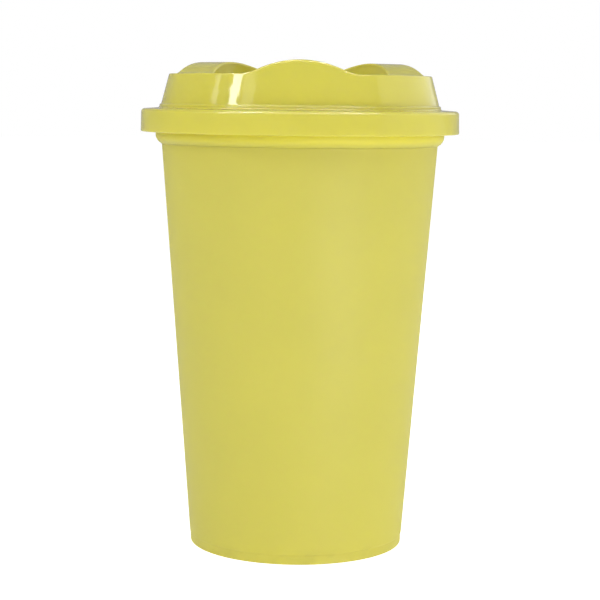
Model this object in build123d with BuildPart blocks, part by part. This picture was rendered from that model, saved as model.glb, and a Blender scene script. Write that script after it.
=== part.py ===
from build123d import *
import os
from math import cos, hypot, radians, sin, sqrt

# A round two-litre sharps container: a tapered tub, a push-on lid whose raised crown carries three
# lobes around a central well, and a rotary closure dial that turns on the well's deck.
# Millimetres, +Z up, -Y is the front, the origin is the centre of the base.

# Tub
tub_wall = 1.7
foot_radius = 53.9
foot_height = 4.6
foot_ring_width = 2.6
base_recess = 1.8
floor_thickness = 1.8
taper_base_radius = 54.25     # outside, just above the foot band
taper = 0.0757                # growth of the radius for each millimetre of height
shoulder_height = 202.2       # where the wall steps out below the lid
shoulder_rise = 1.5
neck_radius = 72.35
rim_top = 217.6
rim_thickness = 1.7
lip_radius = 77.0             # outside of the turned-down lip under the lid's skirt
lip_bottom = 210.2
lip_bead = 0.3

# Lid
lid_wall = 1.8
skirt_radius = 79.75
skirt_bottom = 208.3
skirt_bead = 0.4
lid_lift = 0.3                # gap between the lid's plate and the tub's rim
plate_edge_top = 219.65       # top of the flange at its rounded outer edge
plate_inner_top = 220.2       # top of the flange where the crown starts
crown_base_radius = 70.5
plinth_top = 222.0            # low band around the foot of the crown
crown_rim_radius = 65.65
crown_rim_top = 236.9
crown_lean = 0.265            # inward lean of the crown for each millimetre of height
well_radius = 43.9
deck_top = 222.0
plug_radius = 69.6            # sealing ring that hangs inside the tub's mouth
plug_bottom = 211.5
plug_wall = 1.6

# Lobes: radial ridges on the crown's rim
total_height = 243.5
lobe_crest_radius = 48.0
lobe_blend_radius = 20.0
lobe_directions = (0, 127, -127)   # degrees from the front
edge_softness = 0.8

# Drop opening and closure dial
opening_inner = 13.0
opening_outer = 36.0
opening_angle = 100
opening_corner = 3.0
notch_widths = (2.4, 3.4, 4.8)
notch_spacing = 24
notch_depth = 3.5
dial_radius = 43.3
dial_thickness = 1.8
dial_gap = 0.3
dial_turn = 120               # from open to closed
window_inner = opening_inner - 0.5
window_outer = opening_outer + notch_depth + 0.8
window_angle = opening_angle + 4
hub_radius = 6.0
hub_clearance = 0.05
hub_wall = 2.0
hub_slit = 1.2
collar_radius = 7.4
collar_thickness = 1.8
boss_radius = 9.5
boss_height = 4.0
grip_length = 62.0
grip_width = 3.8
grip_top = 235.0
arrow_distance = 33.0
arrow_width = 7.0
arrow_height = 0.8
stop_depth = 1.4
stop_height = 4.0
stop_angle = 2.0              # half of the rib's width, in degrees
stop_play = 0.5               # free angle left at each stop

os.makedirs("parts", exist_ok=True)


def wall_radius(height):
    """Outside radius of the tub's tapered wall."""
    return taper_base_radius + taper * (height - foot_height)


def crown_radius(height):
    """Outside radius of the crown's conical face."""
    return crown_rim_radius + crown_lean * (crown_rim_top - height)


def half_section(corners):
    """A closed outline from (radius, height, corner radius) triples."""
    points = [(radius, height) for radius, height, _ in corners]
    softness = [corner for _, _, corner in corners]
    FilletPolyline(*points, radius=softness, close=True)


def lobe_outline(crest_radius, blend_radius):
    """Cross-section of a lobe: a crest arc that runs out into the rim through two hollow arcs."""
    height = total_height - crown_rim_top
    reach = crest_radius + blend_radius
    foot = sqrt(reach**2 - (reach - height) ** 2)
    share = crest_radius / reach
    flank = (foot * share, height - crest_radius + (reach - height) * share)
    slope = (reach - height) / reach
    tilt = sqrt((1 - slope) / 2)
    hollow = (foot - blend_radius * tilt, blend_radius * (1 - sqrt(1 - tilt**2)))
    for side in (-1, 1):
        ThreePointArc((side * foot, 0), (side * hollow[0], hollow[1]), (side * flank[0], flank[1]))
    ThreePointArc((-flank[0], flank[1]), (0, height), flank)
    Polyline((-foot, 0), (-foot, -lid_wall / 2), (foot, -lid_wall / 2), (foot, 0))


def lobe_plane(direction, height):
    """A plane on the axis that looks outwards, with its own X level and its own Y upwards."""
    outward = (sin(radians(direction)), -cos(radians(direction)), 0)
    level = (-outward[1], outward[0], 0)
    return Plane(origin=(0, 0, height), x_dir=level, z_dir=outward)


def ring_sector(inner, outer, sweep, middle=90):
    """Outline of a sector of a flat ring, centred on the back unless told otherwise."""
    start = middle - sweep / 2
    CenterArc((0, 0), inner, start, sweep)
    CenterArc((0, 0), outer, start, sweep)
    for angle in (radians(start), radians(start + sweep)):
        Line((inner * cos(angle), inner * sin(angle)), (outer * cos(angle), outer * sin(angle)))


def is_rim_edge(edge):
    """True for the crown's top edges that lie on its conical face or on the well's wall."""
    point = edge @ 0.4
    distance = hypot(point.X, point.Y)
    off_face = min(abs(distance - crown_radius(point.Z)), abs(distance - well_radius))
    return point.Z > crown_rim_top - 0.01 and off_face < 0.01


# --- Tub -----------------------------------------------------------------------------------------
floor_top = base_recess + floor_thickness
neck_inside = neck_radius - tub_wall
shoulder_foot = wall_radius(shoulder_height)
inner_foot = shoulder_height + 1.1
lip_inside = lip_radius - rim_thickness

with BuildPart() as container_body:
    with BuildSketch(Plane.XZ):
        with BuildLine():
            half_section([
                (0, base_recess, 0),
                (foot_radius - foot_ring_width, base_recess, 0.6),
                (foot_radius - foot_ring_width, 0, 0.3),
                (foot_radius, 0, 0.7),
                (foot_radius, foot_height, 0),
                (taper_base_radius, foot_height + 0.5, 0),
                (shoulder_foot, shoulder_height, 0.5),
                (neck_radius, shoulder_height + shoulder_rise, 5.0),
                (neck_radius, rim_top - rim_thickness, 0.6),
                (lip_inside, rim_top - rim_thickness, 0.6),
                (lip_inside, lip_bottom, 0.4),
                (lip_radius + lip_bead, lip_bottom, 0.4),
                (lip_radius + lip_bead, lip_bottom + 0.9, 0),
                (lip_radius, lip_bottom + 1.5, 0),
                (lip_radius, rim_top, 1.0),
                (neck_inside, rim_top, 0.8),
                (neck_inside, shoulder_height + shoulder_rise + 1.0, 3.3),
                (wall_radius(inner_foot) - tub_wall, inner_foot, 0.5),
                (wall_radius(floor_top) - tub_wall, floor_top, 5.0),
                (0, floor_top, 0),
            ])
        make_face()
    revolve(axis=Axis.Z)

container_body.part.label = "container_body"
export_step(container_body.part, "parts/container_body.step")

# --- Lobes of the crown, outside shape and hollow inside ------------------------------------------
crest_space = total_height + 5

with BuildPart() as lobe_shells:
    for direction in lobe_directions:
        with BuildSketch(lobe_plane(direction, crown_rim_top)):
            with BuildLine():
                lobe_outline(lobe_crest_radius, lobe_blend_radius)
            make_face()
    extrude(amount=skirt_radius)
    with BuildSketch(Plane.XZ):
        with BuildLine():
            Polyline(
                (well_radius, crown_rim_top - lid_wall / 2),
                (crown_radius(crown_rim_top - lid_wall / 2), crown_rim_top - lid_wall / 2),
                (crown_radius(crest_space), crest_space),
                (well_radius, crest_space),
                close=True,
            )
        make_face()
    revolve(axis=Axis.Z, mode=Mode.INTERSECT)

with BuildPart() as lobe_hollows:
    for direction in lobe_directions:
        with BuildSketch(lobe_plane(direction, crown_rim_top - lid_wall)):
            with BuildLine():
                lobe_outline(lobe_crest_radius - lid_wall, lobe_blend_radius + lid_wall)
            make_face()
    extrude(amount=skirt_radius)
    hollow_base = crown_rim_top - 1.5 * lid_wall
    with BuildSketch(Plane.XZ):
        with BuildLine():
            Polyline(
                (well_radius + lid_wall, hollow_base),
                (crown_radius(hollow_base) - lid_wall, hollow_base),
                (crown_radius(crest_space) - lid_wall, crest_space),
                (well_radius + lid_wall, crest_space),
                close=True,
            )
        make_face()
    revolve(axis=Axis.Z, mode=Mode.INTERSECT)

# --- Lid -----------------------------------------------------------------------------------------
plate_underside = rim_top + lid_lift
deck_underside = deck_top - lid_wall
crown_underside = crown_rim_top - lid_wall
hole_radius = hub_radius + hub_clearance
skirt_inside = skirt_radius - lid_wall

with BuildPart() as lid:
    with BuildSketch(Plane.XZ):
        with BuildLine():
            half_section([
                (hole_radius, deck_underside, 0),
                (well_radius + lid_wall, deck_underside, 1.0),
                (well_radius + lid_wall, crown_underside, 0.6),
                (crown_radius(crown_underside) - lid_wall, crown_underside, 0.6),
                (plug_radius - plug_wall, plate_underside + lid_wall, 0),
                (plug_radius - plug_wall, plug_bottom, 0.5),
                (plug_radius, plug_bottom, 0.5),
                (plug_radius + 0.5, plug_bottom + 2.0, 0),
                (plug_radius, plug_bottom + 3.0, 0),
                (plug_radius, plate_underside, 0.4),
                (skirt_inside, plate_underside, 0.6),
                (skirt_inside, skirt_bottom + 1.6, 0),
                (skirt_inside - skirt_bead, skirt_bottom + 1.2, 0),
                (skirt_inside - skirt_bead, skirt_bottom + 0.8, 0),
                (skirt_inside, skirt_bottom, 0.2),
                (skirt_radius, skirt_bottom, 0.5),
                (skirt_radius - 0.25, plate_edge_top - 0.1, 1.7),
                (skirt_radius - 3.0, plate_edge_top + 0.1, 0),
                (crown_base_radius, plate_inner_top, 0.3),
                (crown_base_radius - 0.35, plinth_top - 0.2, 0.3),
                (crown_radius(plinth_top + 0.2), plinth_top + 0.2, 0.3),
                (crown_rim_radius, crown_rim_top, 0),
                (well_radius, crown_rim_top, 0),
                (well_radius, deck_top, 0.8),
                (hole_radius, deck_top, 0),
            ])
        make_face()
    revolve(axis=Axis.Z)
    add(lobe_shells.part)
    add(lobe_hollows.part, mode=Mode.SUBTRACT)

    # Soft edges along the crown's outer rim and around the well, over the lobes
    fillet(lid.edges().filter_by(is_rim_edge), edge_softness)

    # Drop opening, with needle-removal notches of three widths in its outer edge
    with BuildSketch(Plane.XY.offset(deck_top)) as drop_opening:
        with BuildLine():
            ring_sector(opening_inner, opening_outer, opening_angle)
        make_face()
        fillet(drop_opening.vertices(), opening_corner)
        for place, width in zip((-1, 0, 1), notch_widths):
            with PolarLocations(opening_outer, 1, start_angle=90 + place * notch_spacing):
                SlotOverall(2 * notch_depth, width)
    extrude(amount=-lid_wall, mode=Mode.SUBTRACT)

    # Stop rib for the dial, at the front of the well
    with BuildSketch(Plane.XY.offset(deck_top)):
        with BuildLine():
            ring_sector(well_radius - stop_depth, well_radius + lid_wall / 2, 2 * stop_angle, 270)
        make_face()
    extrude(amount=stop_height)

lid.part.label = "lid"
export_step(lid.part, "parts/lid.step")

# --- Closure dial --------------------------------------------------------------------------------
dial_underside = deck_top + dial_gap
dial_top = dial_underside + dial_thickness
collar_top = deck_underside - dial_gap
collar_bottom = collar_top - collar_thickness
hub_inside = hub_radius - hub_wall

with BuildPart() as closure_dial:
    with BuildSketch(Plane.XZ):
        with BuildLine():
            half_section([
                (0, dial_underside, 0),
                (hub_inside, dial_underside, 0),
                (hub_inside, collar_bottom, 0.3),
                (collar_radius - 1.0, collar_bottom, 0.3),
                (collar_radius, collar_top - 0.3, 0),
                (collar_radius, collar_top, 0),
                (hub_radius, collar_top, 0),
                (hub_radius, dial_underside, 0),
                (dial_radius, dial_underside, 0.4),
                (dial_radius, dial_top, 0.5),
                (0, dial_top, 0),
            ])
        make_face()
    revolve(axis=Axis.Z)

    # Slits that let the hub's four legs snap through the deck
    with BuildSketch(Plane.XY.offset(collar_bottom)):
        with PolarLocations(0, 2):
            Rectangle(2 * collar_radius + 1, hub_slit)
    extrude(amount=dial_underside - collar_bottom - hub_slit, mode=Mode.SUBTRACT)

    # Window that lines up with the drop opening when the dial is open
    with BuildSketch(Plane.XY.offset(dial_underside)) as window:
        with BuildLine():
            ring_sector(window_inner, window_outer, window_angle)
        make_face()
        fillet(window.vertices(), opening_corner)
    extrude(amount=dial_thickness, mode=Mode.SUBTRACT)

    # Relief in the edge, whose two ends meet the stop rib at open and at closed
    relief_angle = dial_turn + 2 * (stop_angle + stop_play)
    with BuildSketch(Plane.XY.offset(dial_underside)):
        with BuildLine():
            relief_middle = 270 + dial_turn / 2
            ring_sector(well_radius - stop_depth - dial_gap, well_radius, relief_angle, relief_middle)
        make_face()
    extrude(amount=dial_thickness, mode=Mode.SUBTRACT)

    # Finger grip across the middle, on a low round boss
    with BuildSketch(Plane.XY.offset(dial_top)):
        Circle(boss_radius)
    extrude(amount=boss_height)
    fillet(closure_dial.edges().group_by(Axis.Z)[-1], 1.0)
    with BuildSketch(Plane.XY.offset(dial_top)):
        SlotOverall(grip_length, grip_width)
    extrude(amount=grip_top - dial_top)
    fillet(closure_dial.edges().group_by(Axis.Z)[-1], 1.2)

    # Raised arrow that points at the stop rib
    with BuildSketch(Plane.XY.offset(dial_top)):
        with Locations((0, -arrow_distance)):
            Triangle(a=arrow_width, b=arrow_width, c=arrow_width, rotation=180)
    extrude(amount=arrow_height)

closure_dial.part.label = "closure_dial"
export_step(closure_dial.part, "parts/closure_dial.step")
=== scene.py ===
from math import asin, cos, degrees, hypot, pi, radians, sin, sqrt, tan

import bpy
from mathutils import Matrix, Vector


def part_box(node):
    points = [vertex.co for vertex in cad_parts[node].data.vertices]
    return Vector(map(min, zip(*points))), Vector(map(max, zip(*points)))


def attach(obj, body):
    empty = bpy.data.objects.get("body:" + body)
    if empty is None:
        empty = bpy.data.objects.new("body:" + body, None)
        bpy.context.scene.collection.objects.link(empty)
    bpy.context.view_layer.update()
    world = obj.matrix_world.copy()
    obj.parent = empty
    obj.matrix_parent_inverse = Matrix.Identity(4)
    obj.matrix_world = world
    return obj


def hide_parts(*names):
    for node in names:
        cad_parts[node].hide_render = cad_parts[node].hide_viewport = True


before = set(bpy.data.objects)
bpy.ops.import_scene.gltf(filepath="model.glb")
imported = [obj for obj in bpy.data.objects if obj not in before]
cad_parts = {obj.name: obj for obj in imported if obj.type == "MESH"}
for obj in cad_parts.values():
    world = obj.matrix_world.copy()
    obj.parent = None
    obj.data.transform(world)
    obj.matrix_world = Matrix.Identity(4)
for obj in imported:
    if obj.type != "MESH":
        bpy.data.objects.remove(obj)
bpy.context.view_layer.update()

bl_info = {
    "name": "Sharps container",
    "version": (1, 0, 0),
    "blender": (4, 5, 0),
    "location": "3D View > Sidebar > Sharps container",
    "description": "Builds the tub, lid and closure dial of a round sharps container around its frame",
    "category": "Object",
}

MM = 0.001

# Sizes that the frame settles, in metres
tub_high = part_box("container_body")[1]
lid_low, lid_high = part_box("lid")
dial_low, dial_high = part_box("closure_dial")


# --- Settings --------------------------------------------------------------------------------------
class TubSettings(bpy.types.PropertyGroup):
    """Sizes and colour of the tub."""

    segments: bpy.props.IntProperty(
        name="Segments", description="Divisions around the tub", default=320, min=48
    )
    wall: bpy.props.FloatProperty(
        name="Wall", description="Thickness of the side wall", default=1.7 * MM, unit="LENGTH"
    )
    foot_radius: bpy.props.FloatProperty(
        name="Foot radius", description="Outside radius of the foot band",
        default=53.9 * MM, unit="LENGTH"
    )
    foot_height: bpy.props.FloatProperty(
        name="Foot height", description="Height of the upright foot band", default=4.6 * MM, unit="LENGTH"
    )
    taper: bpy.props.FloatProperty(
        name="Taper", description="Growth of the radius for each unit of height", default=0.0757
    )
    shoulder_height: bpy.props.FloatProperty(
        name="Shoulder height", description="Height where the wall steps out",
        default=202.2 * MM, unit="LENGTH"
    )
    neck_radius: bpy.props.FloatProperty(
        name="Neck radius", description="Outside radius above the shoulder",
        default=72.35 * MM, unit="LENGTH"
    )
    yellow: bpy.props.FloatVectorProperty(
        name="Yellow", description="Colour of the matt plastic", subtype="COLOR", size=3,
        default=(0.700, 0.640, 0.101),
    )


class LidSettings(bpy.types.PropertyGroup):
    """Sizes and colour of the lid."""

    segments: bpy.props.IntProperty(
        name="Segments", description="Divisions around the lid", default=384, min=48
    )
    wall: bpy.props.FloatProperty(
        name="Wall", description="Thickness of the lid's walls", default=1.8 * MM, unit="LENGTH"
    )
    rim_height: bpy.props.FloatProperty(
        name="Rim height", description="Top of the crown between its lobes",
        default=236.9 * MM, unit="LENGTH"
    )
    rim_radius: bpy.props.FloatProperty(
        name="Rim radius", description="Outside radius of the crown at its rim",
        default=65.65 * MM, unit="LENGTH"
    )
    lean: bpy.props.FloatProperty(
        name="Lean", description="Inward lean of the crown's face for each unit of height", default=0.265
    )
    well_radius: bpy.props.FloatProperty(
        name="Well radius", description="Radius of the well inside the crown",
        default=43.9 * MM, unit="LENGTH"
    )
    deck_height: bpy.props.FloatProperty(
        name="Deck height", description="Top of the well's deck", default=222.0 * MM, unit="LENGTH"
    )
    crest_radius: bpy.props.FloatProperty(
        name="Crest radius", description="Radius of the arc over a lobe's top",
        default=48.0 * MM, unit="LENGTH"
    )
    blend_radius: bpy.props.FloatProperty(
        name="Blend radius", description="Radius of the hollow arcs beside a lobe",
        default=20.0 * MM, unit="LENGTH"
    )
    lobe_swing: bpy.props.FloatProperty(
        name="Lobe swing", description="Angle from the front lobe to each rear lobe",
        default=radians(127), subtype="ANGLE",
    )
    yellow: bpy.props.FloatVectorProperty(
        name="Yellow", description="Colour of the glossy plastic", subtype="COLOR", size=3,
        default=(0.775, 0.705, 0.106),
    )


class DialSettings(bpy.types.PropertyGroup):
    """Sizes and colour of the closure dial."""

    segments: bpy.props.IntProperty(
        name="Segments", description="Divisions around the dial", default=240, min=48
    )
    grip_length: bpy.props.FloatProperty(
        name="Grip length", description="Length of the finger grip", default=62.0 * MM, unit="LENGTH"
    )
    grip_width: bpy.props.FloatProperty(
        name="Grip width", description="Thickness of the finger grip", default=3.8 * MM, unit="LENGTH"
    )
    yellow: bpy.props.FloatVectorProperty(
        name="Yellow", description="Colour of the dial's plastic", subtype="COLOR", size=3,
        default=(0.775, 0.705, 0.106),
    )


class StageSettings(bpy.types.PropertyGroup):
    """Camera and light."""

    distance: bpy.props.FloatProperty(
        name="Distance", description="Camera's distance in front of the axis",
        default=0.8894, unit="LENGTH"
    )
    height: bpy.props.FloatProperty(
        name="Height", description="Camera's height above the floor", default=0.2275, unit="LENGTH"
    )
    pitch: bpy.props.FloatProperty(
        name="Pitch", description="How far the camera looks down", default=radians(6.67), subtype="ANGLE"
    )
    roll: bpy.props.FloatProperty(
        name="Roll", description="How far the camera is turned about its own axis",
        default=radians(0.66), subtype="ANGLE",
    )
    lens: bpy.props.FloatProperty(
        name="Lens", description="Focal length in millimetres on a 36 mm sensor", default=105.7
    )
    room_front: bpy.props.FloatProperty(
        name="Room in front", description="Brightness of the room in front of the container", default=0.25
    )
    room_left: bpy.props.FloatProperty(
        name="Room on the left", description="Brightness of the room on the left", default=0.26
    )
    room_right: bpy.props.FloatProperty(
        name="Room on the right", description="Brightness of the room on the right", default=0.42
    )
    room_back: bpy.props.FloatProperty(
        name="Room behind", description="Brightness of the room behind the container", default=0.4
    )
    tubes: bpy.props.FloatProperty(
        name="Tubes", description="Brightness of the narrow ceiling tubes", default=36.0
    )
    table_glow: bpy.props.FloatProperty(
        name="Table glow", description="Light that the white table gives of its own", default=0.19
    )


# --- Outlines --------------------------------------------------------------------------------------
def rounded(corners, closed=True):
    """Points of an outline from (x, y, corner radius) triples, with each corner as an arc.

    A point just outside each end of an arc keeps the shading of the flats beside it straight.
    """
    guard = 0.35 * MM
    points = []
    count = len(corners)
    for index, (x, y, radius) in enumerate(corners):
        here = Vector((x, y))
        if not closed and index in (0, count - 1):
            points.append(here)
            continue
        back = Vector(corners[index - 1][:2]) - here
        ahead = Vector(corners[(index + 1) % count][:2]) - here
        turn = pi - back.angle(ahead)
        if radius <= 0 or turn < radians(1):
            points.append(here)
            continue
        reach = radius * tan(turn / 2)
        start, end = here + back.normalized() * reach, here + ahead.normalized() * reach
        centre = here + (back.normalized() + ahead.normalized()).normalized() * (radius / cos(turn / 2))
        steps = max(2, round(degrees(turn) / 15))
        if back.length > reach + 3 * guard:
            points.append(start + back.normalized() * guard)
        first, last = start - centre, end - centre
        for step in range(steps + 1):
            share = step / steps
            points.append(centre + radius * first.slerp(last, share).normalized())
        if ahead.length > reach + 3 * guard:
            points.append(end + ahead.normalized() * guard)
    return points


def divided(start, end, pieces):
    """Points inside a straight run, as corners with no rounding."""
    return [
        (start[0] + (end[0] - start[0]) * k / pieces, start[1] + (end[1] - start[1]) * k / pieces, 0)
        for k in range(1, pieces)
    ]


def sector_outline(inner, outer, half_angle, corner):
    """Points around a sector of a ring that is centred on +Y, with rounded corners."""
    points = []

    def arc(centre, radius, start, end, steps):
        for step in range(steps + 1):
            angle = start + (end - start) * step / steps
            points.append(centre + radius * Vector((sin(angle), cos(angle))))

    origin = Vector((0, 0))
    outer_lean = asin(corner / (outer - corner))
    inner_lean = asin(corner / (inner + corner))
    for side in (1, -1):
        outer_turn = side * (half_angle - outer_lean)
        inner_turn = side * (half_angle - inner_lean)
        outer_centre = (outer - corner) * Vector((sin(outer_turn), cos(outer_turn)))
        inner_centre = (inner + corner) * Vector((sin(inner_turn), cos(inner_turn)))
        square = side * (half_angle + pi / 2)
        if side == 1:
            arc(origin, outer, -outer_turn, outer_turn, 48)
            arc(outer_centre, corner, outer_turn, square, 8)
            arc(inner_centre, corner, square, inner_turn + pi, 8)
            arc(origin, inner, inner_turn, -inner_turn, 24)
        else:
            arc(inner_centre, corner, inner_turn + pi, square + 2 * pi, 8)
            arc(outer_centre, corner, square, outer_turn, 8)
    return points


def ring_outline(inner, outer, start, end, steps=40):
    """Points around a sector of a ring between two bearings from +X, with square corners."""
    bearings = [start + (end - start) * step / steps for step in range(steps + 1)]
    outside = [outer * Vector((cos(bearing), sin(bearing))) for bearing in bearings]
    inside = [inner * Vector((cos(bearing), sin(bearing))) for bearing in reversed(bearings)]
    return outside + inside


def slot_outline(length, width, steps=16):
    """Points around a slot along X with round ends."""
    points = []
    for side in (1, -1):
        centre = Vector((side * (length - width) / 2, 0))
        for step in range(steps + 1):
            bearing = pi * step / steps - pi / 2 + (0 if side == 1 else pi)
            points.append(centre + width / 2 * Vector((cos(bearing), sin(bearing))))
    return points


def notch_outline(bearing, reach, width, depth, steps=24):
    """Points around a round-ended notch that runs outwards on a bearing from +Y."""
    outwards = Vector((sin(bearing), cos(bearing)))
    across = Vector((cos(bearing), -sin(bearing)))
    centre = outwards * (reach - width / 2)
    points = []
    for step in range(steps + 1):
        angle = pi * step / steps
        points.append(centre + width / 2 * (across * cos(angle) + outwards * sin(angle)))
    inwards = outwards * depth
    return [centre + across * width / 2 - inwards, *points, centre - across * width / 2 - inwards]


# --- Modelling steps -------------------------------------------------------------------------------
def deselect():
    bpy.ops.object.select_all(action="DESELECT")


def activate(piece):
    deselect()
    piece.select_set(True)
    bpy.context.view_layer.objects.active = piece


def trace(name, points, upright=True, closed=True):
    """Draws a line through the points, one extruded vertex after another, and stays in edit mode."""
    deselect()
    bpy.ops.mesh.primitive_plane_add(size=MM, location=(0, 0, 0))
    piece = bpy.context.object
    piece.name = piece.data.name = name
    bpy.ops.object.mode_set(mode="EDIT")
    bpy.ops.mesh.select_mode(type="VERT")
    bpy.ops.mesh.merge(type="CENTER")
    place = [Vector((p[0], 0, p[1])) if upright else Vector((p[0], p[1], 0)) for p in points]
    bpy.ops.transform.translate(value=place[0])
    loop = place[1:] + ([place[0]] if closed else [])
    here = place[0]
    for there in loop:
        bpy.ops.mesh.extrude_vertices_move(TRANSFORM_OT_translate={"value": there - here})
        here = there
    bpy.ops.mesh.select_all(action="SELECT")
    bpy.ops.mesh.remove_doubles(threshold=0.002 * MM)
    return piece


def turn(name, points, segments, closed=True):
    """Turns a half-section about the axis into a closed solid."""
    piece = trace(name, points, closed=closed)
    bpy.ops.mesh.select_all(action="SELECT")
    bpy.ops.mesh.spin(steps=segments, angle=2 * pi, center=(0, 0, 0), axis=(0, 0, 1))
    bpy.ops.mesh.select_all(action="SELECT")
    bpy.ops.mesh.remove_doubles(threshold=0.004 * MM)
    bpy.ops.mesh.normals_make_consistent(inside=False)
    bpy.ops.object.mode_set(mode="OBJECT")
    return piece


def prism(name, points, low, high, top_radius=0):
    """A closed upright prism over an outline in plan, with its top edge rounded if asked."""
    piece = trace(name, points, upright=False)
    bpy.ops.mesh.select_all(action="SELECT")
    bpy.ops.mesh.edge_face_add()
    bpy.ops.transform.translate(value=(0, 0, low))
    bpy.ops.mesh.extrude_region_move(TRANSFORM_OT_translate={"value": (0, 0, high - low)})
    if top_radius:
        bpy.ops.mesh.bevel(offset=top_radius, segments=4, affect="EDGES")
    bpy.ops.mesh.select_all(action="SELECT")
    bpy.ops.mesh.normals_make_consistent(inside=False)
    bpy.ops.object.mode_set(mode="OBJECT")
    return piece


def combine(piece, tool, operation):
    """Adds a tool piece to a piece or cuts it away, and clears the tool away."""
    activate(piece)
    change = piece.modifiers.new("Combine", "BOOLEAN")
    change.operation = operation
    change.solver = "EXACT"
    change.object = tool
    bpy.ops.object.modifier_apply(modifier=change.name)
    bpy.data.objects.remove(tool)


def finish_piece(piece, node, body, material, smooth_angle=35):
    """Shades a piece, gives it its material and puts it in its CAD node's place."""
    activate(piece)
    bpy.ops.object.shade_smooth_by_angle(angle=radians(smooth_angle))
    piece.data.materials.clear()
    piece.data.materials.append(material)
    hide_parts(node)
    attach(piece, body)


# --- Materials -------------------------------------------------------------------------------------
class Recipe:
    """A small helper that adds and joins shader nodes."""

    def __init__(self, name):
        self.material = bpy.data.materials.new(name)
        self.material.use_nodes = True
        self.tree = self.material.node_tree
        self.shader = self.tree.nodes["Principled BSDF"]
        self.coords = self.add("ShaderNodeTexCoord").outputs["Object"]

    def add(self, kind, **values):
        node = self.tree.nodes.new(kind)
        for key, value in values.items():
            setattr(node, key, value)
        return node

    def join(self, output, socket):
        self.tree.links.new(output, socket)

    def noise(self, size, detail=2.0, stretch=None):
        """Noise whose grains are about the given size, in metres."""
        coords = self.coords
        if stretch:
            mapping = self.add("ShaderNodeMapping")
            mapping.inputs["Scale"].default_value = stretch
            self.join(coords, mapping.inputs["Vector"])
            coords = mapping.outputs["Vector"]
        node = self.add("ShaderNodeTexNoise")
        node.inputs["Scale"].default_value = 1 / size
        node.inputs["Detail"].default_value = detail
        self.join(coords, node.inputs["Vector"])
        return node.outputs["Fac"]

    def remap(self, value, low, high, to_low, to_high, smooth=False):
        node = self.add("ShaderNodeMapRange")
        if smooth:
            node.interpolation_type = "SMOOTHSTEP"
        for key, number in (("From Min", low), ("From Max", high), ("To Min", to_low), ("To Max", to_high)):
            node.inputs[key].default_value = number
        self.join(value, node.inputs["Value"])
        return node.outputs["Result"]

    def maths(self, operation, first, second):
        node = self.add("ShaderNodeMath", operation=operation)
        for socket, value in zip(node.inputs, (first, second)):
            if isinstance(value, (int, float)):
                socket.default_value = value
            else:
                self.join(value, socket)
        return node.outputs[0]

    def blend(self, share, first, second):
        """Mixes two colours; share, first and second may be numbers, colours or outputs."""
        node = self.add("ShaderNodeMix", data_type="RGBA")
        for socket, value in zip((node.inputs[0], node.inputs[6], node.inputs[7]), (share, first, second)):
            if isinstance(value, (int, float)):
                socket.default_value = value
            elif isinstance(value, tuple):
                socket.default_value = (*value, 1)
            else:
                self.join(value, socket)
        return node.outputs[2]

    def bump(self, height, depth, below=None):
        """Bump of a given depth in metres, on top of another bump."""
        node = self.add("ShaderNodeBump")
        node.inputs["Strength"].default_value = 1.0
        node.inputs["Distance"].default_value = depth
        self.join(height, node.inputs["Height"])
        if below:
            self.join(below, node.inputs["Normal"])
        return node.outputs["Normal"]

    def height(self):
        node = self.add("ShaderNodeSeparateXYZ")
        self.join(self.coords, node.inputs["Vector"])
        return node.outputs["Z"]


def shade(colour, factor):
    return tuple(channel * factor for channel in colour)


def clouded(recipe, yellow, size):
    """A yellow with soft clouds of a slightly darker and a slightly lighter shade."""
    clouds = recipe.noise(size, detail=3)
    return recipe.blend(recipe.remap(clouds, 0.35, 0.65, 0, 1), shade(yellow, 0.985), shade(yellow, 1.01))


def let_light_through(recipe, depth):
    """Thin polypropylene lets some light through, and it comes out a deeper yellow."""
    shader = recipe.shader.inputs
    shader["Subsurface Weight"].default_value = 0.4
    shader["Subsurface Radius"].default_value = (1.0, 0.9, 0.12)
    shader["Subsurface Scale"].default_value = depth
    shader["IOR"].default_value = 1.49


def matt_plastic(name, yellow):
    """Matt yellow polypropylene from a spark-eroded mould: fine grain, soft clouds, faint scuffs, and
    painted light at the neck.
    """
    recipe = Recipe(name)
    tint = clouded(recipe, yellow, 45 * MM)
    smudge = recipe.noise(14 * MM, detail=4, stretch=(1, 1, 2.2))
    near_foot = recipe.remap(recipe.height(), 3 * MM, 11 * MM, 1, 0, smooth=True)
    grime = recipe.maths("MULTIPLY", recipe.remap(smudge, 0.5, 0.68, 0, 0.35), near_foot)
    tint = recipe.blend(grime, tint, shade(yellow, 0.8))
    # Painted light: the neck under the lid is painted a deeper and brighter yellow, standing in for light
    # that comes through the plastic from inside
    red, green, blue = yellow
    neck_painted_light = recipe.remap(recipe.height(), 203 * MM, 206 * MM, 0, 1, smooth=True)
    tint = recipe.blend(neck_painted_light, tint, (red * 1.28, green * 1.26, blue * 0.8))
    recipe.join(tint, recipe.shader.inputs["Base Color"])
    grain = recipe.noise(0.55 * MM, detail=2)
    roughness = recipe.remap(recipe.noise(30 * MM, detail=3), 0.3, 0.7, 0.44, 0.50)
    recipe.join(roughness, recipe.shader.inputs["Roughness"])
    orange_peel = recipe.bump(recipe.noise(9 * MM, detail=2), 0.04 * MM)
    recipe.join(recipe.bump(grain, 0.03 * MM, orange_peel), recipe.shader.inputs["Normal"])
    let_light_through(recipe, 3 * MM)
    return recipe.material


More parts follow.
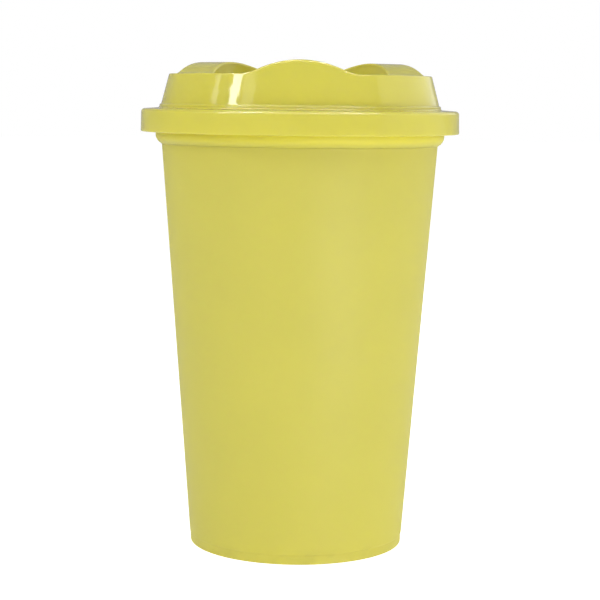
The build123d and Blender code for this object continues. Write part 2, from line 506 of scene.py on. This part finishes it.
def gloss_plastic(name, yellow):
    """Glossy yellow polypropylene from a polished mould: slight waviness, fine rubs, soft clouds."""
    recipe = Recipe(name)
    recipe.join(clouded(recipe, yellow, 35 * MM), recipe.shader.inputs["Base Color"])
    rubs = recipe.noise(1.2 * MM, detail=4, stretch=(1, 1, 0.15))
    base = recipe.remap(recipe.noise(22 * MM, detail=3), 0.3, 0.7, 0.06, 0.09)
    roughness = recipe.maths("ADD", base, recipe.remap(rubs, 0.66, 0.82, 0, 0.10))
    recipe.join(roughness, recipe.shader.inputs["Roughness"])
    waves = recipe.bump(recipe.noise(10 * MM, detail=2), 0.26 * MM)
    recipe.join(recipe.bump(recipe.noise(0.8 * MM), 0.003 * MM, waves), recipe.shader.inputs["Normal"])
    let_light_through(recipe, 3 * MM)
    return recipe.material


def lit_table(name, glow):
    """White acrylic table, lit from below so that it shows plain white."""
    recipe = Recipe(name)
    mottle = recipe.noise(0.4, detail=2)
    tint = recipe.blend(mottle, (0.90, 0.90, 0.89), (0.93, 0.93, 0.92))
    recipe.join(tint, recipe.shader.inputs["Base Color"])
    recipe.shader.inputs["Roughness"].default_value = 0.9
    recipe.shader.inputs["Specular IOR Level"].default_value = 0.1
    recipe.shader.inputs["Emission Color"].default_value = (1, 1, 1, 1)
    seen = recipe.add("ShaderNodeLightPath").outputs["Is Camera Ray"]
    recipe.join(recipe.remap(seen, 0, 1, glow, 0.75), recipe.shader.inputs["Emission Strength"])
    return recipe.material


# --- The pieces ------------------------------------------------------------------------------------
class SHARPS_OT_tub(bpy.types.Operator):
    """Turn the tapered tub, with its foot ring, shoulder, rim and turned-down lip"""

    bl_idname = "sharps.tub"
    bl_label = "Tub"

    def execute(self, context):
        size = context.scene.sharps_tub
        rim_top = tub_high.z
        lip_radius = tub_high.x
        bead = 0.3 * MM
        lip_bottom = rim_top - 7.4 * MM
        base_recess, floor = 1.8 * MM, 1.8 * MM
        ring_inside = size.foot_radius - 2.6 * MM
        above_foot = size.foot_height + 0.5 * MM

        def outside(height):
            return size.foot_radius + 0.35 * MM + size.taper * (height - size.foot_height)

        inner_foot = size.shoulder_height + 1.1 * MM
        neck_inside = size.neck_radius - size.wall
        lip_inside = lip_radius - bead - size.wall
        lower = (outside(above_foot), above_foot)
        upper = (outside(size.shoulder_height), size.shoulder_height)
        floor_edge = (outside(base_recess + floor) - size.wall, base_recess + floor)
        inner_top = (outside(inner_foot) - size.wall, inner_foot)
        corners = [
            (0, base_recess, 0),
            (ring_inside, base_recess, 0.6 * MM),
            (ring_inside, 0, 0.3 * MM),
            (size.foot_radius, 0, 0.7 * MM),
            (size.foot_radius, size.foot_height, 0.15 * MM),
            (*lower, 0.15 * MM),
            *divided(lower, upper, 12),
            (*upper, 0.5 * MM),
            (size.neck_radius, size.shoulder_height + 1.5 * MM, 5.0 * MM),
            (size.neck_radius, rim_top - size.wall, 0.6 * MM),
            (lip_inside, rim_top - size.wall, 0.6 * MM),
            (lip_inside, lip_bottom, 0.4 * MM),
            (lip_radius, lip_bottom, 0.4 * MM),
            (lip_radius, lip_bottom + 0.9 * MM, 0.1 * MM),
            (lip_radius - bead, lip_bottom + 1.5 * MM, 0.1 * MM),
            (lip_radius - bead, rim_top, 1.0 * MM),
            (neck_inside, rim_top, 0.8 * MM),
            (neck_inside, size.shoulder_height + 2.5 * MM, 3.3 * MM),
            (*inner_top, 0.5 * MM),
            *divided(inner_top, floor_edge, 12),
            (*floor_edge, 5.0 * MM),
            (0, base_recess + floor, 0),
        ]
        tub = turn("tub_moulding", rounded(corners, closed=False), size.segments, closed=False)
        finish_piece(tub, "container_body", "tub", matt_plastic("matt yellow", size.yellow[:]))
        return {"FINISHED"}


def lobe_rise(x, y, size, height):
    """How far the crown's rim is raised over a point in plan by the three lobes."""
    reach = size.crest_radius + size.blend_radius
    foot = sqrt(reach**2 - (reach - height) ** 2)
    flank = foot * size.crest_radius / reach
    rise = 0.0
    for direction in (0, size.lobe_swing, -size.lobe_swing):
        along = x * sin(direction) - y * cos(direction)
        across = abs(x * cos(direction) + y * sin(direction))
        if along <= 0 or across >= foot:
            continue
        if across < flank:
            here = height - size.crest_radius + sqrt(size.crest_radius**2 - across**2)
        else:
            here = size.blend_radius - sqrt(size.blend_radius**2 - (foot - across) ** 2)
        rise = max(rise, here)
    return rise


def face_radius(size, height):
    """Outside radius of the crown's conical face at a height."""
    return size.rim_radius + size.lean * (size.rim_height - height)


def raise_lobes(lid, size):
    """Draws the rim up into its lobes.

    The conical face and the well's wall stretch up along themselves, and the flat rim and its underside
    move up unchanged.
    """
    wall = size.wall
    under_rim = size.rim_height - wall
    lift_from = size.deck_height + 5 * MM
    lobe_height = lid_high.z - size.rim_height
    blend_from, blend_width = 54 * MM, 9 * MM
    for vertex in lid.data.vertices:
        x, y, z = vertex.co
        if z <= lift_from:
            continue
        distance = hypot(x, y)
        outside = distance > face_radius(size, z) - wall / 2 or z > under_rim + wall / 2
        top = size.rim_height if outside else under_rim
        share = min(1.0, (z - lift_from) / (top - lift_from))
        rise = lobe_rise(x, y, size, lobe_height) * share
        towards_face = min(1.0, max(0.0, (distance - blend_from) / blend_width))
        inwards = 1 - size.lean * rise * towards_face**2 * (3 - 2 * towards_face) / distance
        vertex.co = (x * inwards, y * inwards, z + rise)


def cut_deck(lid, size):
    """Cuts the drop opening and its three notches for needles through the well's deck."""
    low, high = size.deck_height - size.wall - MM, size.deck_height + MM
    opening = sector_outline(13 * MM, 36 * MM, radians(50), 3 * MM)
    combine(lid, prism("opening", opening, low, high), "DIFFERENCE")
    for place, width in zip((-1, 0, 1), (2.4 * MM, 3.4 * MM, 4.8 * MM)):
        notch = notch_outline(radians(24) * place, 39.5 * MM, width, 5 * MM)
        combine(lid, prism("notch", notch, low, high), "DIFFERENCE")


def add_stop_rib(lid, size):
    """Adds the dial's stop rib at the front of the well."""
    outer, inner = size.well_radius + size.wall / 2, size.well_radius - 1.4 * MM
    rib = ring_outline(inner, outer, radians(268), radians(272), steps=4)
    low, high = size.deck_height - size.wall / 2, size.deck_height + 4 * MM
    combine(lid, prism("stop_rib", rib, low, high), "UNION")


class SHARPS_OT_lid(bpy.types.Operator):
    """Turn the lid, draw its rim up into three lobes and cut the drop opening through its deck"""

    bl_idname = "sharps.lid"
    bl_label = "Lid"

    def execute(self, context):
        size = context.scene.sharps_lid
        wall = size.wall
        skirt, skirt_bottom = lid_high.x, lid_low.z
        plate_under = tub_high.z + 0.3 * MM
        plate_edge, plate_inner, plinth = 219.65 * MM, 220.2 * MM, 222.0 * MM
        crown_base = 70.5 * MM
        plug, plug_bottom = 69.6 * MM, 211.5 * MM
        plug_inside = plug - 1.6 * MM
        hole = 6.05 * MM
        deck, deck_under = size.deck_height, size.deck_height - wall
        under_rim = size.rim_height - wall

        face_foot = (face_radius(size, plinth + 0.2 * MM), plinth + 0.2 * MM)
        rim_edge, well_edge = (size.rim_radius, size.rim_height), (size.well_radius, size.rim_height)
        under_well = (size.well_radius + wall, under_rim)
        under_face = (face_radius(size, under_rim) - wall, under_rim)
        corners = [
            (hole, deck_under, 0.2 * MM),
            (size.well_radius + wall, deck_under, 1.0 * MM),
            (*under_well, 0.6 * MM),
            *divided(under_well, under_face, 8),
            (*under_face, 0.6 * MM),
            (plug_inside, plate_under + wall, 0),
            (plug_inside, plug_bottom, 0.5 * MM),
            (plug, plug_bottom, 0.5 * MM),
            (plug + 0.5 * MM, plug_bottom + 2.0 * MM, 0.1 * MM),
            (plug, plug_bottom + 3.0 * MM, 0.1 * MM),
            (plug, plate_under, 0.4 * MM),
            (skirt - wall, plate_under, 0.6 * MM),
            (skirt - wall, skirt_bottom + 1.6 * MM, 0.1 * MM),
            (skirt - wall - 0.4 * MM, skirt_bottom + 1.2 * MM, 0.1 * MM),
            (skirt - wall - 0.4 * MM, skirt_bottom + 0.8 * MM, 0.1 * MM),
            (skirt - wall, skirt_bottom, 0.2 * MM),
            (skirt, skirt_bottom, 0.5 * MM),
            (skirt - 0.25 * MM, plate_edge - 0.1 * MM, 1.7 * MM),
            (skirt - 3.0 * MM, plate_edge + 0.1 * MM, 0),
            (crown_base, plate_inner, 0.9 * MM),
            (crown_base - 0.1 * MM, plinth - 0.2 * MM, 0.7 * MM),
            (*face_foot, 0.3 * MM),
            *divided(face_foot, rim_edge, 4),
            (*rim_edge, 0.8 * MM),
            *divided(rim_edge, well_edge, 10),
            (*well_edge, 0.8 * MM),
            (size.well_radius, deck, 0.8 * MM),
            (hole, deck, 0.2 * MM),
        ]
        lid = turn("lid_moulding", rounded(corners), size.segments)
        raise_lobes(lid, size)
        cut_deck(lid, size)
        add_stop_rib(lid, size)
        finish_piece(lid, "lid", "lid", gloss_plastic("glossy yellow", size.yellow[:]))
        return {"FINISHED"}


class SHARPS_OT_dial(bpy.types.Operator):
    """Turn the closure dial and give it its window, stop relief, slit hub, grip and arrow"""

    bl_idname = "sharps.dial"
    bl_label = "Closure dial"

    def execute(self, context):
        size = context.scene.sharps_dial
        lid = context.scene.sharps_lid
        disc_under = lid.deck_height + 0.3 * MM
        disc_top = disc_under + 1.8 * MM
        disc = dial_high.y
        hub, hub_inside, collar = 6.0 * MM, 4.0 * MM, 7.4 * MM
        collar_bottom = dial_low.z
        collar_top = lid.deck_height - lid.wall - 0.3 * MM
        boss, boss_top = 9.5 * MM, disc_top + 4.0 * MM
        corners = [
            (0, disc_under, 0),
            (hub_inside, disc_under, 0.3 * MM),
            (hub_inside, collar_bottom, 0.3 * MM),
            (collar - 1.0 * MM, collar_bottom, 0.3 * MM),
            (collar, collar_top - 0.3 * MM, 0.1 * MM),
            (collar, collar_top, 0.1 * MM),
            (hub, collar_top, 0.1 * MM),
            (hub, disc_under, 0.2 * MM),
            (disc, disc_under, 0.4 * MM),
            (disc, disc_top, 0.5 * MM),
            (boss, disc_top, 0.6 * MM),
            (boss, boss_top, 1.0 * MM),
            (0, boss_top, 0),
        ]
        dial = turn("dial_moulding", rounded(corners, closed=False), size.segments, closed=False)

        window = sector_outline(12.5 * MM, 40.3 * MM, radians(52), 3 * MM)
        combine(dial, prism("window", window, disc_under - MM, disc_top + MM), "DIFFERENCE")
        relief = ring_outline(42.2 * MM, disc + MM, radians(267.5), radians(392.5))
        combine(dial, prism("relief", relief, disc_under - MM, disc_top + MM), "DIFFERENCE")
        slit = [Vector((x * 9 * MM, y * 0.6 * MM)) for x, y in ((-1, -1), (1, -1), (1, 1), (-1, 1))]
        for across in (slit, [Vector((point.y, point.x)) for point in slit]):
            combine(dial, prism("slit", across, collar_bottom - MM, disc_under - 1.2 * MM), "DIFFERENCE")

        grip = slot_outline(size.grip_length, size.grip_width)
        combine(dial, prism("grip", grip, disc_top - 0.5 * MM, dial_high.z, 1.2 * MM), "UNION")
        tip, base, half = -36.03 * MM, -29.97 * MM, 3.5 * MM
        arrow = [Vector((0, tip)), Vector((half, base)), Vector((-half, base))]
        combine(dial, prism("arrow", arrow, disc_top - 0.5 * MM, disc_top + 0.8 * MM, 0.25 * MM), "UNION")
        yellow = gloss_plastic("dial yellow", size.yellow[:])
        finish_piece(dial, "closure_dial", "dial", yellow)
        return {"FINISHED"}


# --- The stage -------------------------------------------------------------------------------------
def soft_box(name, bearing, rise, wide, tall, brightness, distance=1.3, aim=0.2):
    """A rectangular light that faces the container.

    Bearing is counted from the front, and rise from the level of the lid. Wide and tall are the light's
    size as the lid sees it. All are in degrees. Brightness is against a white sheet's 1.
    """
    level = cos(radians(rise))
    outward = Vector((sin(radians(bearing)) * level, -cos(radians(bearing)) * level, sin(radians(rise))))
    deselect()
    bpy.ops.object.light_add(type="AREA", location=Vector((0, 0, aim)) + outward * distance)
    light = bpy.context.object
    light.name = light.data.name = name
    light.data.shape = "RECTANGLE"
    light.data.size = 2 * distance * tan(radians(wide / 2))
    light.data.size_y = 2 * distance * tan(radians(tall / 2))
    light.data.energy = brightness * pi * light.data.size * light.data.size_y
    light.rotation_euler = outward.to_track_quat("Z", "Y").to_euler()
    light.visible_camera = False
    return light


def white_surround(size):
    """A world that is white to the camera and a dimmer room, uneven from side to side, as light."""
    world = bpy.data.worlds.new("white surround")
    world.use_nodes = True
    nodes, links = world.node_tree.nodes, world.node_tree.links
    room = nodes["Background"]
    around = nodes.new("ShaderNodeTexGradient")
    around.gradient_type = "RADIAL"
    links.new(nodes.new("ShaderNodeTexCoord").outputs["Generated"], around.inputs["Vector"])
    walls = nodes.new("ShaderNodeValToRGB")
    links.new(around.outputs["Fac"], walls.inputs["Fac"])
    links.new(walls.outputs["Color"], room.inputs["Color"])
    stops = walls.color_ramp.elements
    stops[0].position, stops[1].position = 0, 1
    levels = (size.room_left, size.room_front, size.room_right, size.room_back, size.room_left)
    for quarter in (1, 2, 3):
        stops.new(quarter / 4)
    for stop, level in zip(stops, levels):
        stop.color = (level, level, level, 1)
    sheet = nodes.new("ShaderNodeBackground")
    sheet.inputs["Color"].default_value = (1, 1, 1, 1)
    choice = nodes.new("ShaderNodeMixShader")
    links.new(nodes.new("ShaderNodeLightPath").outputs["Is Camera Ray"], choice.inputs["Fac"])
    links.new(room.outputs["Background"], choice.inputs[1])
    links.new(sheet.outputs["Background"], choice.inputs[2])
    links.new(choice.outputs["Shader"], nodes["World Output"].inputs["Surface"])
    return world


class SHARPS_OT_stage(bpy.types.Operator):
    """Lay the pale floor, set the soft light and place the camera"""

    bl_idname = "sharps.stage"
    bl_label = "Stage"

    def execute(self, context):
        size = context.scene.sharps_stage
        deselect()
        bpy.ops.mesh.primitive_circle_add(vertices=96, radius=8, fill_type="NGON", location=(0, 0, 0))
        floor = bpy.context.object
        floor.name = "floor"
        floor.data.materials.append(lit_table("lit table", size.table_glow))

        context.scene.world = white_surround(size)

        soft_box("overhead box", 5, 62, 62, 40, 0.88)
        soft_box("front fill", 4, 13, 90, 13, 0.4)
        soft_box("left tube", -57.5, 30, 7, 22, 14)
        soft_box("left slit", -76, 29, 6, 24, 2.6)
        soft_box("left patch", -45, 29, 10, 28, 1.6)
        soft_box("right panel", 115, 26, 78, 40, 0.8)
        soft_box("right panel foot", 90, -2, 64, 18, 0.3)
        soft_box("table patch", 34, -14, 38, 12, 4.6, distance=0.5, aim=0.15)
        # Narrow ceiling tubes seen end on, which only show as glints on the polished edges
        bearings = (-76, -69, -62, -55, -48, -39, -27, -14, 0, 13, 27, 39, 47, 55, 62, 69, 76)
        for number, bearing in enumerate(bearings):
            tube = soft_box(f"ceiling tube {number + 1}", bearing, 56, 1.2, 28, size.tubes)
            tube.visible_diffuse = False

        deselect()
        bpy.ops.object.camera_add(location=(MM, -size.distance, size.height))
        camera = bpy.context.object
        camera.name = camera.data.name = "camera"
        camera.rotation_mode = "ZYX"
        camera.rotation_euler = (pi / 2 - size.pitch, 0, size.roll)
        camera.data.sensor_width = 36
        camera.data.lens = size.lens
        context.scene.camera = camera
        context.scene.view_settings.view_transform = "Standard"
        return {"FINISHED"}


class SHARPS_PT_panel(bpy.types.Panel):
    """Lists the steps that build the container"""

    bl_label = "Sharps container"
    bl_idname = "SHARPS_PT_panel"
    bl_space_type = "VIEW_3D"
    bl_region_type = "UI"
    bl_category = "Sharps container"

    def draw(self, context):
        for settings, operator in STEPS:
            box = self.layout.box()
            box.operator(operator)
            group = getattr(context.scene, settings)
            for name in group.__annotations__:
                box.prop(group, name)


STEPS = (
    ("sharps_tub", "sharps.tub"),
    ("sharps_lid", "sharps.lid"),
    ("sharps_dial", "sharps.dial"),
    ("sharps_stage", "sharps.stage"),
)
SETTINGS = {
    "sharps_tub": TubSettings,
    "sharps_lid": LidSettings,
    "sharps_dial": DialSettings,
    "sharps_stage": StageSettings,
}
CLASSES = (
    *SETTINGS.values(), SHARPS_OT_tub, SHARPS_OT_lid, SHARPS_OT_dial, SHARPS_OT_stage, SHARPS_PT_panel,
)


def register():
    for item in CLASSES:
        bpy.utils.register_class(item)
    for name, group in SETTINGS.items():
        setattr(bpy.types.Scene, name, bpy.props.PointerProperty(type=group))


def unregister():
    for name in SETTINGS:
        delattr(bpy.types.Scene, name)
    for item in reversed(CLASSES):
        bpy.utils.unregister_class(item)


def main():
    register()
    bpy.ops.sharps.tub()
    bpy.ops.sharps.lid()
    bpy.ops.sharps.dial()
    bpy.ops.sharps.stage()


if __name__ == "__main__":
    main()
